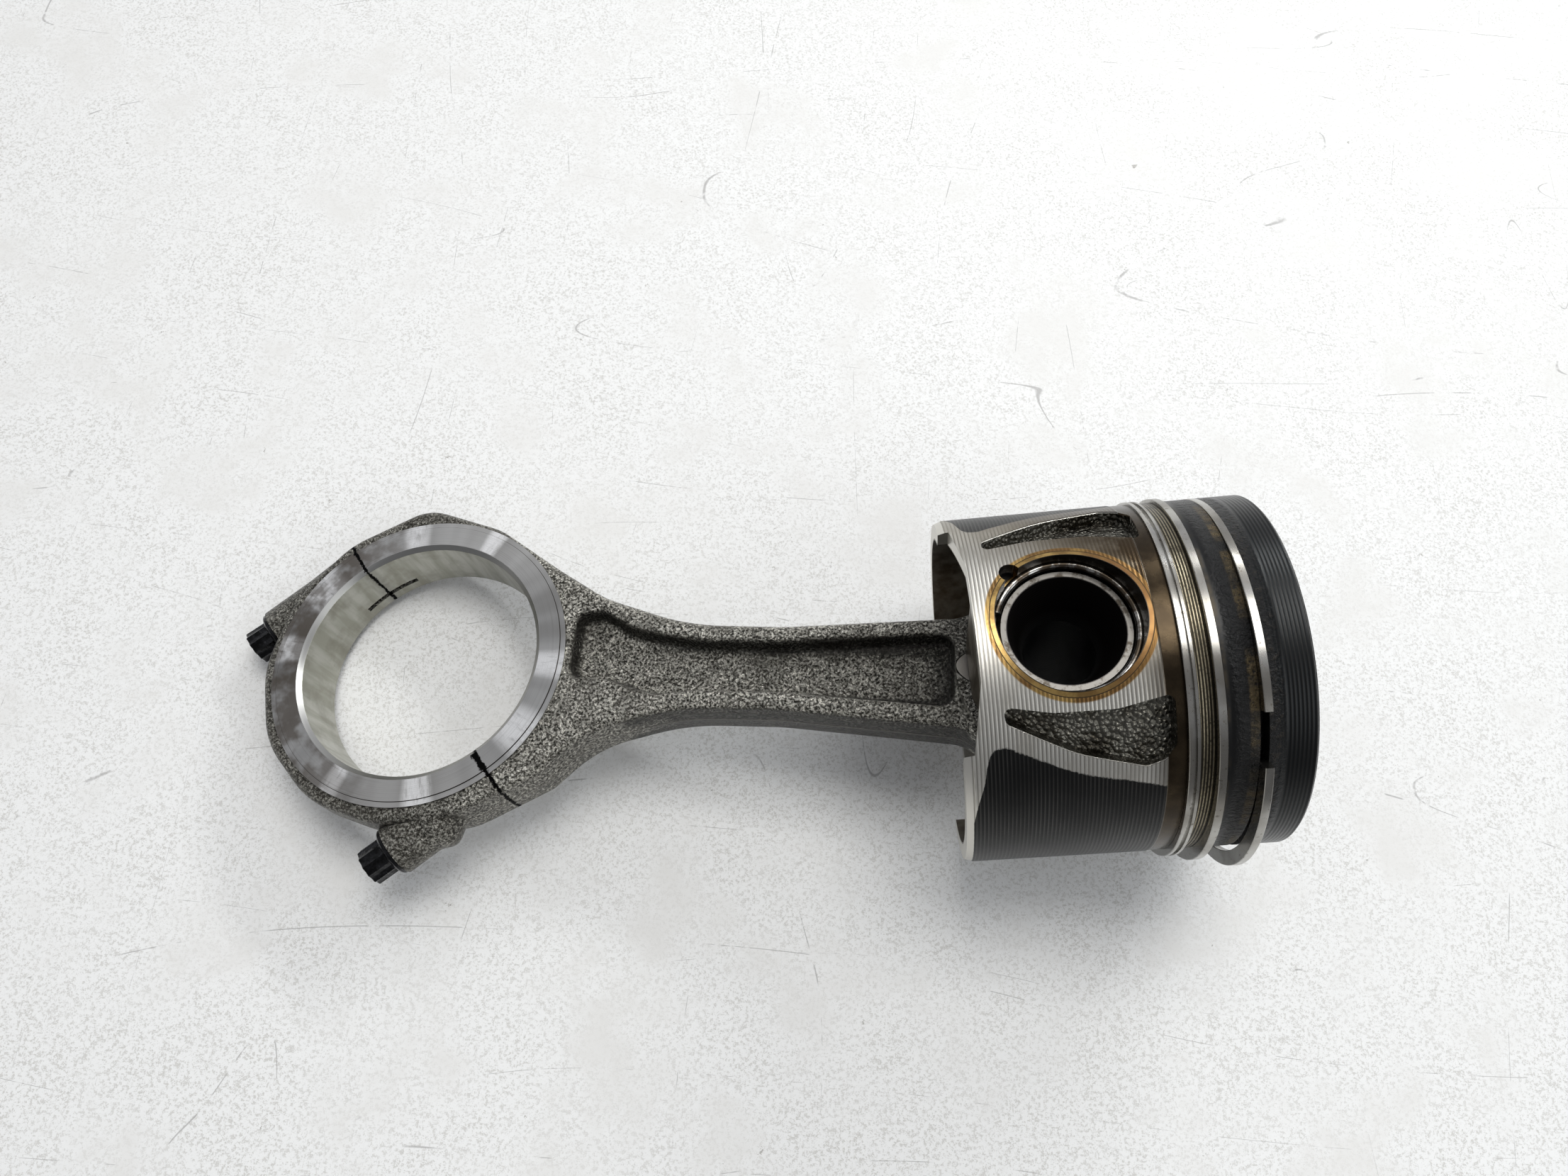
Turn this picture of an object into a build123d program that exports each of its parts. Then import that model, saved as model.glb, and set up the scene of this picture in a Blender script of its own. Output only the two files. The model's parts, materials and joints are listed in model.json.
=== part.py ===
from build123d import *
import os
from math import cos, degrees, radians, sin

# Piston and connecting rod of a small V-engine diesel, lying on a flat surface, in mm.
# The rod is drawn with its big-end bore on the Z axis and the gudgeon pin towards +X.
# The piston is drawn on its gudgeon pin, which is on the Z axis, with the crown towards +X.
# Both are put together and laid down at the end.

# Connecting rod
rod_length = 160.5  # big-end bore centre to pin centre
big_bore_diameter = 63.0
big_end_width = 18.6  # over the two machined side faces
big_bore_chamfer = 1.1
side_face_radius = 38.0  # machined side face of the big end
side_rim_radius = 39.4  # the lower rim round it
side_rim_step = 0.3
shank_thickness = 17.0
forging_draft = 3.5  # degrees
forging_edge_round = 2.2
web_thickness = 6.0
pocket_draft = 12.0  # degrees
pocket_floor_round = 2.2
pocket_edge_round = 1.0
small_end_radius = 22.9
small_end_width = 18.8  # at the pin centre
small_end_slope = 4.5  # degrees, each side face leans in towards the crown
small_bush_wall = 1.7
fracture_angle = 50.0  # between the rod's length and the joint of the cap
tang_slot_width = 1.6
tang_slot_depth = 1.2
tang_slot_off_centre = 4.5
tang_slot_start = 114.5  # degrees round the bore from the rod's length
tang_slot_end = 143.4

# Outline of the forging at its parting line: x, y and radius of each corner, just inside the eye
forging_outline = (
    (rod_length + 9.0, 22.6, 12.0),
    (rod_length - 8.5, 22.6, 12.0),
    (rod_length - 21.5, 14.6, 8.0),
    (94.6, 11.4, 60.0),
    (70.0, 11.6, 60.0),
    (47.5, 18.6, 30.0),
    (33.5, 26.8, 17.5),
    (14.8, 38.8, 21.0),
    (-7.6, 45.4, 12.6),
    (-28.3, 33.5, 22.4),
    (-40.4, 17.2, 26.6),
    (-43.7, -3.8, 26.6),
    (-36.9, -24.0, 26.6),
    (-21.3, -38.5, 26.6),
    (-1.5, -44.0, 26.6),
    (18.6, -40.2, 21.0),
    (37.0, -29.6, 7.0),
    (47.5, -18.6, 30.0),
    (70.0, -11.6, 60.0),
    (94.6, -11.4, 60.0),
    (rod_length - 21.5, -14.6, 8.0),
    (rod_length - 8.5, -22.6, 12.0),
    (rod_length + 9.0, -22.6, 12.0),
    (rod_length + 16.5, -18.0, 8.0),
    (rod_length + 22.6, -9.0, 8.0),
    (rod_length + 22.6, 9.0, 8.0),
    (rod_length + 16.5, 18.0, 8.0),
)

# Outline of the recess beside the web, at the flat of the shank
pocket_outline = (
    (40.4, 13.8, 3.5),
    (48.0, 14.4, 5.0),
    (57.0, 9.3, 14.0),
    (74.0, 6.8, 30.0),
    (94.5, 6.8, 60.0),
    (137.7, 9.9, 4.0),
    (137.7, -9.4, 4.0),
    (94.5, -6.9, 60.0),
    (74.0, -6.9, 20.0),
    (64.0, -8.5, 9.0),
    (50.5, -4.6, 12.0),
    (40.6, -4.2, 3.5),
)

# Cap bolts and the bosses round them
bolt_spacing = 74.6
bolt_diameter = 8.0
bolt_reach = 18.0  # thread past the joint
bolt_hole_clearance = 0.2  # radial, in the cap
thread_clearance = 0.03  # radial, in the rod
bolt_tip_room = 2.0
bolt_seat = 29.5  # joint to the seat under the head
bolt_seat_radius = 6.75
bolt_flange_diameter = 12.6
bolt_flange_thickness = 1.7
flange_room = 0.4  # radial, round the flange
bolt_head_diameter = 9.6
bolt_head_height = 5.9
bolt_head_socket = 3.4
boss_round = 3.0
upper_boss_profile = ((15.0, 7.4), (3.0, 8.5), (-7.0, 8.0), (-20.0, 3.0))  # past the joint, radius
lower_boss_profile = ((20.5, 6.6), (16.8, 8.3), (12.3, 5.2), (3.0, 5.8), (-9.0, 7.4), (-18.0, 4.8))

# Gudgeon pin, its bushes and circlips
pin_diameter = 30.0
pin_length = 67.5
pin_bore_diameter = 16.4
pin_mouth_diameter = 25.2
pin_mouth_depth = 14.0
pin_end_chamfer = 1.05
pin_clearance = 0.02  # radial, in every bush
pin_bush_wall = 1.9
pin_bush_mouth = 0.65
circlip_wire = 1.8
circlip_gap = 36.0  # degrees
circlip_bite = 1.1  # groove depth in the bush

# Piston
skirt_diameter = 82.92
land_diameter = 82.6
compression_height = 46.8  # pin centre to crown
crown_chamfer = 0.5
skirt_length = 24.8  # pin centre to the open end
skirt_lead = 1.9
skirt_lead_depth = 0.7
skirt_top = 16.6  # pin centre to the upper end of the skirt
skirt_top_slope = 0.4
boss_side_length = 20.0  # pin centre to the shorter edge at the pin ends
boss_side_corner = 22.4  # the same at the ends of that edge
boss_side_half_width = 26.6
skirt_wall = 4.5
cavity_top = 25.2  # pin centre to the underside of the crown
cavity_round = 6.0
pin_offset = 0.8  # piston's axis to pin's axis
boss_radius = 21.0
boss_web_width = 34.0  # from the boss up to the crown
boss_gap = 1.4  # rod to boss, each side
piston_swing = 6.25  # degrees, as it lies
lying_roll = -4.0  # degrees, about the rod's length, as it lies
removal_notch_radius = 2.3
removal_notch_angle = 133.0  # degrees round the pin from the crown's direction
removal_notch_depth = 33.9  # out from the rod's middle plane

# Combustion bowl
bowl_lip_radius = 21.5
bowl_radius = 24.0
bowl_depth = 14.0
bowl_peak_depth = 5.0
bowl_lip_depth = 2.0
bowl_round = 5.5

# Cast pockets beside the pin bosses: along the axis, sideways, corner radius
cast_pocket_direction = 37.0  # degrees from the pin's axis
cast_pocket_floor = 38.2  # piston's axis to the floor
cast_pocket_draft = 10.0  # degrees
cast_pocket_outline = (
    (-15.6, -7.2, 1.0),
    (-6.0, -5.3, 12.0),
    (7.0, -5.2, 12.0),
    (18.2, -7.6, 1.2),
    (18.2, 2.6, 1.2),
    (16.2, 5.6, 1.8),
    (12.6, 6.9, 1.8),
    (-1.0, 3.1, 30.0),
    (-15.2, -4.4, 1.0),
)

# Ring grooves: pin centre to the lower side, width, bottom radius
top_groove = (35.05, 1.85, 37.3)
second_groove = (26.3, 1.85, 37.5)
oil_groove = (20.6, 2.5, 36.9)
carrier_low = 32.9
carrier_high = 39.0
carrier_inner_radius = 34.2
oil_drain_diameter = 2.5
oil_drain_directions = (20.0, 74.0, 106.0, 160.0, 200.0, 254.0, 286.0, 340.0)

# Rings as they spring out of the bore: outer radius, radial depth, gap and its direction,
# and how far each hangs off the piston's axis
ring_side_clearance = 0.05
top_ring_free = (43.65, 3.4, 11.5, 127.1, 2.3)
second_ring_free = (43.15, 3.3, 9.0, 250.0, 1.0)
oil_ring_free = (42.4, 2.5, 6.0, 10.0, 0.5)
droop_direction = 205.5  # degrees from the thrust side
oil_slot_width = 0.8
oil_slot_depth = 0.7
coil_radius = 0.8

# Worked out from the driving dimensions
half_thickness = shank_thickness / 2
bore_radius = big_bore_diameter / 2
pin_radius = pin_diameter / 2
bush_radius = pin_radius + pin_clearance + pin_bush_wall
small_bore_radius = pin_radius + pin_clearance + small_bush_wall
skirt_radius = skirt_diameter / 2
land_radius = land_diameter / 2
boss_half_gap = small_end_width / 2 + boss_gap
circlip_place = pin_length / 2 + 0.05 + circlip_wire / 2
circlip_radius = pin_radius + circlip_bite - circlip_wire / 2
piston_axis = Axis((0, pin_offset, 0), (1, 0, 0))
joint_angle = radians(180 - fracture_angle)
across = Vector(cos(joint_angle), sin(joint_angle), 0)
towards_cap = Vector(-across.Y, across.X, 0)


def side_plane(half_gap, side):
    """Slanted plane beside the small end, half_gap from the middle at the pin's centre."""
    slope = radians(small_end_slope)
    return Plane(
        origin=(0, 0, side * half_gap),
        x_dir=(0, 1, 0),
        z_dir=(sin(slope), 0, side * cos(slope)),
    )


def closed_outline(corners):
    """Straight sides with rounded corners, from rows of two coordinates and a radius."""
    with BuildLine() as outline:
        FilletPolyline(
            *[(x, y) for x, y, corner in corners],
            radius=[corner for x, y, corner in corners],
            close=True,
        )
    return outline.line


# Forging of rod and cap in one, as it is before the cap is broken off
with BuildPart() as forging:
    with BuildSketch(Plane.XY):
        add(closed_outline(forging_outline))
        make_face()
    extrude(amount=half_thickness, taper=forging_draft)
    fillet(forging.faces().sort_by(Axis.Z)[-1].edges(), radius=forging_edge_round)
    with BuildSketch(Plane.XY.offset(half_thickness)):
        add(closed_outline(pocket_outline))
        make_face()
    extrude(
        amount=(shank_thickness - web_thickness) / 2,
        dir=(0, 0, -1),
        taper=pocket_draft,
        mode=Mode.SUBTRACT,
    )
    fillet(forging.faces().filter_by(Axis.Z).sort_by(Axis.Z)[-2].edges(), radius=pocket_floor_round)
    fillet(forging.faces().sort_by(Axis.Z)[-1].inner_wires()[0].edges(), radius=pocket_edge_round)
    mirror(about=Plane.XY)

# Eye of the small end, thicker than the shank towards the big end
with BuildPart() as small_end:
    Cylinder(small_end_radius, 2 * small_end_width)
    for side in (1, -1):
        split(bisect_by=side_plane(small_end_width / 2, side), keep=Keep.BOTTOM)

# Rod and cap together, bored and drilled
with BuildPart() as rod_and_cap:
    add(forging.part)
    with Locations((rod_length, 0, 0)):
        add(small_end.part)
    Cylinder(side_rim_radius, big_end_width - 2 * side_rim_step)
    Cylinder(side_face_radius, big_end_width)
    for side, profile in ((1, upper_boss_profile), (-1, lower_boss_profile)):
        bolt_foot = across * side * bolt_spacing / 2
        boss_plane = Plane(origin=bolt_foot, x_dir=towards_cap, z_dir=(0, 0, 1))
        tip = profile[-1][0] - boss_round
        with BuildSketch(boss_plane):
            with BuildLine():
                FilletPolyline(
                    (bolt_seat, bolt_seat_radius),
                    *profile,
                    (tip, 0),
                    radius=boss_round,
                )
                Polyline((tip, 0), (bolt_seat, 0), (bolt_seat, bolt_seat_radius))
            make_face()
        revolve(axis=Axis(bolt_foot, towards_cap))
    for side in (1, -1):
        seat = Plane(origin=across * side * bolt_spacing / 2 + towards_cap * bolt_seat, z_dir=towards_cap)
        with BuildSketch(seat):
            Circle(bolt_flange_diameter / 2 + flange_room)
        extrude(amount=15, mode=Mode.SUBTRACT)
        with BuildSketch(seat):
            Circle(bolt_diameter / 2 + bolt_hole_clearance)
        extrude(amount=-bolt_seat, mode=Mode.SUBTRACT)
        with BuildSketch(seat.offset(-bolt_seat)):
            Circle(bolt_diameter / 2 + thread_clearance)
        extrude(amount=-(bolt_reach + bolt_tip_room), mode=Mode.SUBTRACT)
    Cylinder(bore_radius, 2 * big_end_width, mode=Mode.SUBTRACT)
    bore_mouths = rod_and_cap.edges().filter_by(GeomType.CIRCLE)
    bore_mouths = bore_mouths.filter_by(lambda edge: abs(edge.radius - bore_radius) < 0.01)
    chamfer(bore_mouths, length=big_bore_chamfer)
    with Locations((rod_length, 0, 0)):
        Cylinder(small_bore_radius, 4 * small_end_width, mode=Mode.SUBTRACT)
    with BuildSketch(Plane.XZ.rotated((0, 0, tang_slot_start))):
        with Locations((bore_radius + tang_slot_depth / 2, -tang_slot_off_centre)):
            Rectangle(tang_slot_depth + 2, tang_slot_width)
    revolve(axis=Axis.Z, revolution_arc=tang_slot_end - tang_slot_start, mode=Mode.SUBTRACT)

# Connecting rod, with the cap broken off across the big-end bore
with BuildPart() as connecting_rod:
    add(rod_and_cap.part)
    split(bisect_by=Plane(origin=(0, 0, 0), x_dir=(0, 0, 1), z_dir=-towards_cap))

with BuildPart() as rod_cap:
    add(rod_and_cap.part)
    split(bisect_by=Plane(origin=(0, 0, 0), x_dir=(0, 0, 1), z_dir=towards_cap))

# Cap bolt with a twelve-point head, drawn from its seat
with BuildPart() as cap_bolt:
    Cylinder(
        bolt_diameter / 2,
        bolt_seat + bolt_reach,
        align=(Align.CENTER, Align.CENTER, Align.MAX),
    )
    chamfer(cap_bolt.edges().sort_by(Axis.Z)[0], length=0.8)
    Cylinder(
        bolt_flange_diameter / 2,
        bolt_flange_thickness,
        align=(Align.CENTER, Align.CENTER, Align.MIN),
    )
    chamfer(cap_bolt.edges().sort_by(Axis.Z)[-1], length=0.5)
    with BuildSketch(Plane.XY.offset(bolt_flange_thickness)):
        for turn in (0, 30):
            RegularPolygon(bolt_head_diameter / 2, 6, rotation=turn)
    extrude(amount=bolt_head_height)
    with BuildSketch(Plane.XY.offset(bolt_flange_thickness + bolt_head_height)):
        Circle(bolt_head_socket / 2)
    extrude(amount=bolt_head_socket / 2, dir=(0, 0, -1), taper=20, mode=Mode.SUBTRACT)

# Bearing bush pressed into the small end, flush with its slanted faces
with BuildPart() as small_end_bush:
    Cylinder(small_bore_radius, 4 * small_end_width)
    Cylinder(pin_radius + pin_clearance, 4 * small_end_width, mode=Mode.SUBTRACT)
    for side in (1, -1):
        split(bisect_by=side_plane(small_end_width / 2, side), keep=Keep.BOTTOM)

# Gudgeon pin, hollow and opened out at both mouths
with BuildPart() as gudgeon_pin:
    with BuildSketch(Plane.XZ):
        with BuildLine():
            Polyline(
                (pin_bore_diameter / 2, 0),
                (pin_radius, 0),
                (pin_radius, pin_length / 2 - pin_end_chamfer),
                (pin_radius - pin_end_chamfer, pin_length / 2),
                (pin_mouth_diameter / 2, pin_length / 2),
                (pin_bore_diameter / 2, pin_length / 2 - pin_mouth_depth),
                close=True,
            )
        make_face()
    revolve(axis=Axis.Z)
    mirror(about=Plane.XY)


# Room for the rod between the pin bosses, wider towards the open end
with BuildPart() as rod_room:
    Box(150, 150, 60)
    for side in (1, -1):
        split(bisect_by=side_plane(boss_half_gap, side), keep=Keep.BOTTOM)

# Pin bosses with the webs that hold them to the crown
with BuildPart() as pin_bosses:
    with BuildSketch(Plane.XY):
        Circle(boss_radius)
        with Locations((cavity_top, 0)):
            Rectangle(2 * cavity_top, boss_web_width)
    extrude(amount=skirt_radius, both=True)
    add(rod_room.part, mode=Mode.SUBTRACT)

# Hollow of the piston, all but the bosses
with BuildPart() as cavity:
    with BuildSketch(Plane.XY):
        with Locations((cavity_top, pin_offset)):
            Rectangle(
                2 * skirt_length + 2 * cavity_top,
                skirt_radius - skirt_wall,
                align=(Align.MAX, Align.MIN),
            )
    revolve(axis=piston_axis)
    fillet(cavity.edges().sort_by(Axis.X)[-1], radius=cavity_round)
    add(pin_bosses.part, mode=Mode.SUBTRACT)

# Piston, cast and turned
with BuildPart() as piston:
    with BuildSketch(Plane.XY):
        with Locations((0, pin_offset)):
            Polygon(
                (-skirt_length, 0),
                (-skirt_length, skirt_radius - skirt_lead_depth),
                (-skirt_length + skirt_lead, skirt_radius),
                (skirt_top, skirt_radius),
                (skirt_top + skirt_top_slope, land_radius),
                (compression_height - crown_chamfer, land_radius),
                (compression_height, land_radius - crown_chamfer),
                (compression_height, 0),
                align=None,
            )
            for low, width, bottom in (top_groove, second_groove, oil_groove):
                with Locations((low, bottom)):
                    Rectangle(width, land_radius - bottom + 1, align=Align.MIN, mode=Mode.SUBTRACT)
            with Locations((carrier_low, carrier_inner_radius)):
                Rectangle(
                    carrier_high - carrier_low,
                    land_radius - carrier_inner_radius + 1,
                    align=Align.MIN,
                    mode=Mode.SUBTRACT,
                )
    revolve(axis=piston_axis)
    with BuildSketch(Plane(origin=(compression_height, pin_offset, 0))):
        with BuildLine():
            FilletPolyline(
                (-bowl_peak_depth, 0),
                (-bowl_depth, bowl_radius - bowl_round),
                (-bowl_depth, bowl_radius),
                (-bowl_lip_depth, bowl_radius),
                (-bowl_lip_depth, bowl_lip_radius),
                (1, bowl_lip_radius),
                radius=(bowl_round, bowl_round * 0.7, 1.2, 0.8),
            )
            Polyline((1, bowl_lip_radius), (1, 0), (-bowl_peak_depth, 0))
        make_face()
    revolve(axis=piston_axis, mode=Mode.SUBTRACT)
    add(cavity.part, mode=Mode.SUBTRACT)
    with BuildSketch(Plane.XY):
        with Locations((0, pin_offset)):
            Polygon(
                (-boss_side_corner, boss_side_half_width),
                (-boss_side_length, boss_side_half_width / 2),
                (-boss_side_length, -boss_side_half_width / 2),
                (-boss_side_corner, -boss_side_half_width),
                (-2 * skirt_length, -boss_side_half_width),
                (-2 * skirt_length, boss_side_half_width),
                align=None,
            )
    extrude(amount=land_diameter, both=True, mode=Mode.SUBTRACT)
    Cylinder(bush_radius, 2 * skirt_diameter, mode=Mode.SUBTRACT)
    for side, turn in ((1, 1), (1, -1), (-1, 1), (-1, -1)):
        lean = radians(cast_pocket_direction)
        outward = Vector(0, turn * sin(lean), side * cos(lean))
        floor = Plane(
            origin=Vector(0, pin_offset, 0) + outward * cast_pocket_floor,
            x_dir=(1, 0, 0),
            z_dir=outward,
        )
        hand = side * turn
        corners = [(x, hand * y, corner) for x, y, corner in cast_pocket_outline[::hand]]
        with BuildSketch(floor):
            add(closed_outline(corners))
            make_face()
        extrude(amount=skirt_radius - cast_pocket_floor + 6, taper=-cast_pocket_draft, mode=Mode.SUBTRACT)
    for side in (1, -1):
        with Locations(Location((0, 0, side * removal_notch_depth), (0, 0, removal_notch_angle))):
            with Locations((bush_radius - 0.7, 0, side * 10)):
                Cylinder(removal_notch_radius, 20, mode=Mode.SUBTRACT)
    for direction in oil_drain_directions:
        outward = Vector(0, cos(radians(direction)), sin(radians(direction)))
        drain = Plane(
            origin=Vector(oil_groove[0] + oil_groove[1] / 2, pin_offset, 0) + outward * oil_groove[2],
            z_dir=outward,
        )
        with BuildSketch(drain):
            Circle(oil_drain_diameter / 2)
        extrude(amount=-12, mode=Mode.SUBTRACT)

# Hard ring cast into the piston round the top groove
with BuildPart() as ring_carrier:
    with BuildSketch(Plane.XY):
        with Locations((0, pin_offset)):
            with Locations((carrier_low, carrier_inner_radius)):
                Rectangle(carrier_high - carrier_low, land_radius - carrier_inner_radius, align=Align.MIN)
            with Locations((top_groove[0], top_groove[2])):
                Rectangle(
                    top_groove[1],
                    land_radius - top_groove[2] + 1,
                    align=Align.MIN,
                    mode=Mode.SUBTRACT,
                )
    revolve(axis=piston_axis)

# Bushes of the pin bosses, with a groove for the circlip and a wider mouth outside it
with BuildPart() as front_pin_bush:
    Cylinder(bush_radius, skirt_diameter, align=(Align.CENTER, Align.CENTER, Align.MIN))
    with Locations(Location((0, pin_offset, 0), (0, 90, 0))):
        Cylinder(skirt_radius, skirt_diameter, mode=Mode.INTERSECT)
    Cylinder(pin_radius + pin_clearance, 2 * skirt_diameter, mode=Mode.SUBTRACT)
    add(rod_room.part, mode=Mode.SUBTRACT)
    with Locations((0, 0, circlip_place)):
        Torus(circlip_radius, circlip_wire / 2 + 0.05, mode=Mode.SUBTRACT)
        Cylinder(
            pin_radius + pin_bush_mouth,
            skirt_radius,
            align=(Align.CENTER, Align.CENTER, Align.MIN),
            mode=Mode.SUBTRACT,
        )
    with Locations(Location((0, 0, removal_notch_depth), (0, 0, removal_notch_angle))):
        with Locations((bush_radius - 0.7, 0, 10)):
            Cylinder(removal_notch_radius, 20, mode=Mode.SUBTRACT)

with BuildPart() as rear_pin_bush:
    mirror(front_pin_bush.part, about=Plane.XY)

# Round wire circlips, open towards the skirt's open end
with BuildPart() as front_circlip:
    with Locations(Location((0, 0, circlip_place), (0, 0, 180 + circlip_gap / 2))):
        Torus(circlip_radius, circlip_wire / 2, major_angle=360 - circlip_gap)

with BuildPart() as rear_circlip:
    mirror(front_circlip.part, about=Plane.XY)


def sprung_ring(groove, free_ring):
    """Plain piston ring resting in its groove, sprung out and hanging to one side."""
    low, groove_width, groove_bottom = groove
    outer_radius, depth, gap, gap_direction, droop = free_ring
    with BuildPart() as ring:
        with BuildSketch(Plane.YZ.offset(low + ring_side_clearance)):
            with Locations(ring_centre(droop)):
                Circle(outer_radius)
                Circle(outer_radius - depth, mode=Mode.SUBTRACT)
                with Locations(Location((0, 0, 0), (0, 0, gap_direction))):
                    Rectangle(
                        2 * outer_radius,
                        gap,
                        align=(Align.MIN, Align.CENTER),
                        mode=Mode.SUBTRACT,
                    )
        extrude(amount=groove_width - 2 * ring_side_clearance)
    return ring


def ring_centre(droop):
    """Where a ring's own axis crosses the plane across the piston."""
    lean = radians(droop_direction)
    return (pin_offset + droop * cos(lean), droop * sin(lean))


top_ring = sprung_ring(top_groove, top_ring_free)
second_ring = sprung_ring(second_groove, second_ring_free)

# Oil ring, slotted outside and hollowed inside for its coil spring
oil_ring_middle = Location(
    (oil_groove[0] + oil_groove[1] / 2, *ring_centre(oil_ring_free[4])),
    (0, 90, 0),
)
coil_path_radius = oil_ring_free[0] - oil_ring_free[1] - coil_radius / 2

with BuildPart() as oil_ring:
    add(sprung_ring(oil_groove, oil_ring_free).part)
    with Locations(oil_ring_middle):
        Torus(coil_path_radius, coil_radius + 0.05, mode=Mode.SUBTRACT)
    with BuildSketch(Plane.YZ.offset(oil_groove[0] + (oil_groove[1] - oil_slot_width) / 2)):
        with Locations(ring_centre(oil_ring_free[4])):
            Circle(oil_ring_free[0] + 1)
            Circle(oil_ring_free[0] - oil_slot_depth, mode=Mode.SUBTRACT)
    extrude(amount=oil_slot_width, mode=Mode.SUBTRACT)

with BuildPart() as oil_ring_expander:
    with Locations(oil_ring_middle):
        Torus(coil_path_radius, coil_radius)

# Places of everything, with the piston swung on its pin and the whole laid down.
on_pin = Location((rod_length, 0, 0))
on_swung_pin = on_pin * Location((0, 0, 0), (0, 0, piston_swing))
swung_axis = Vector(cos(radians(piston_swing)), sin(radians(piston_swing)), 0)
skirt_end = (on_swung_pin * Location((-boss_side_length, pin_offset, 0))).position


def upward(pitch):
    """Direction of up in the rod's frame, when the whole is pitched and rolled."""
    roll = radians(lying_roll)
    return Vector(cos(roll) * sin(pitch), sin(roll), cos(roll) * cos(pitch))


def lowest(centre, axis, radius, up):
    """Height of the lowest point of a circle."""
    return centre.dot(up) - radius * axis.cross(up).length


# The pitch where the end of the skirt and the side face of the big end touch together
flattest, steepest = 0.0, radians(30)
while steepest - flattest > 1e-7:
    pitch = (flattest + steepest) / 2
    side_face = lowest(Vector(0, 0, -big_end_width / 2), Vector(0, 0, 1), side_face_radius, upward(pitch))
    if lowest(skirt_end, swung_axis, skirt_radius, upward(pitch)) < side_face:
        flattest = pitch
    else:
        steepest = pitch
laid_down = Location((0, 0, 0), (lying_roll, 0, 0)) * Location((0, 0, 0), (0, -degrees(pitch), 0))


def bolt_place(side):
    """Seat of one cap bolt, with the bolt's head away from the joint."""
    seat = across * side * bolt_spacing / 2 + towards_cap * bolt_seat
    return Plane(origin=seat, x_dir=across, z_dir=towards_cap).location


pieces = {
    "connecting_rod": connecting_rod.part,
    "rod_cap": rod_cap.part,
    "upper_cap_bolt": cap_bolt.part.moved(bolt_place(1)),
    "lower_cap_bolt": cap_bolt.part.moved(bolt_place(-1)),
    "small_end_bush": small_end_bush.part.moved(on_pin),
    "gudgeon_pin": gudgeon_pin.part.moved(on_pin),
    "piston": piston.part.moved(on_swung_pin),
    "ring_carrier": ring_carrier.part.moved(on_swung_pin),
    "front_pin_bush": front_pin_bush.part.moved(on_swung_pin),
    "rear_pin_bush": rear_pin_bush.part.moved(on_swung_pin),
    "front_circlip": front_circlip.part.moved(on_swung_pin),
    "rear_circlip": rear_circlip.part.moved(on_swung_pin),
    "top_ring": top_ring.part.moved(on_swung_pin),
    "second_ring": second_ring.part.moved(on_swung_pin),
    "oil_ring": oil_ring.part.moved(on_swung_pin),
    "oil_ring_expander": oil_ring_expander.part.moved(on_swung_pin),
}
lying = {name: piece.moved(laid_down) for name, piece in pieces.items()}
boxes = [piece.bounding_box() for piece in lying.values()]
low_x, high_x = min(box.min.X for box in boxes), max(box.max.X for box in boxes)
low_y, high_y = min(box.min.Y for box in boxes), max(box.max.Y for box in boxes)
floor_z = min(box.min.Z for box in boxes)
on_floor = Location((-(low_x + high_x) / 2, -(low_y + high_y) / 2, -floor_z))

os.makedirs("parts", exist_ok=True)
for name, piece in lying.items():
    placed = piece.moved(on_floor)
    placed.label = name
    export_step(placed, f"parts/{name}.step")
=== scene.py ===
import json
import math
from collections import namedtuple

import bmesh
import bpy
from mathutils import Euler, Matrix, Vector


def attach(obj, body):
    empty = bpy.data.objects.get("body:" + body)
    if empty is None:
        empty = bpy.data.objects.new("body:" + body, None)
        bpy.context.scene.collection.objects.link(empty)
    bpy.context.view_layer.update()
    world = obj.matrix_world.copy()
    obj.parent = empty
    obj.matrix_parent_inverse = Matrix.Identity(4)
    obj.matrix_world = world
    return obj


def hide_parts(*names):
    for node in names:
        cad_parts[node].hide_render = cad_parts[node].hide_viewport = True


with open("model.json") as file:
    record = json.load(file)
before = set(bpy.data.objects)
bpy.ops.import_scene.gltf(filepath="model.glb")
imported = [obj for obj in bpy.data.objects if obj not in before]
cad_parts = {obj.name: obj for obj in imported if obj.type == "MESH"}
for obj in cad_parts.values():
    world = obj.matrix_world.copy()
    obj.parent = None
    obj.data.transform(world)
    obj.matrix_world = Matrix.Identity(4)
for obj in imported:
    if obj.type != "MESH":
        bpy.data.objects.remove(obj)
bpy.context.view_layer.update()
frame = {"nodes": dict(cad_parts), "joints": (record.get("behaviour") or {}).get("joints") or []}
nodes = frame["nodes"]

# Connecting rod: a steel forging, shot blasted and oily, with an I-shaped shank.
# Only its big-end side faces, its bore, the joint of the cap and the slanted faces
# beside the gudgeon pin are machined. The rest of the surface is as forged.

# Sizes in mm, each of which is this much in metres
MM = 0.001

ROD_LENGTH = 160.5
BIG_END_HALF = 9.3
BORE_RADIUS = 31.5
BORE_CHAMFER = 1.1
SIDE_FACE_RADIUS = 38.0
SIDE_RIM_RADIUS = 39.4
SMALL_END_HALF = 9.4
SMALL_END_SLOPE = math.tan(math.radians(4.5))
JOINT_ANGLE = math.radians(130)
# Recess beside the web: its start, half width, and the depth at which its wall ends
RECESS_START = 39
RECESS_HALF = 15.5
RECESS_RIM = 7.2
WEB_HALF = 3.0
WEB_SIDES = (-5.9, 4.8)
WEB_END = 133
# Ground faces of the small end: a disc round the pin and a tongue along the shank
GROUND_RADIUS = 19.4
TONGUE_LENGTH = 23
TONGUE_BREADTH = 4.5
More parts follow.
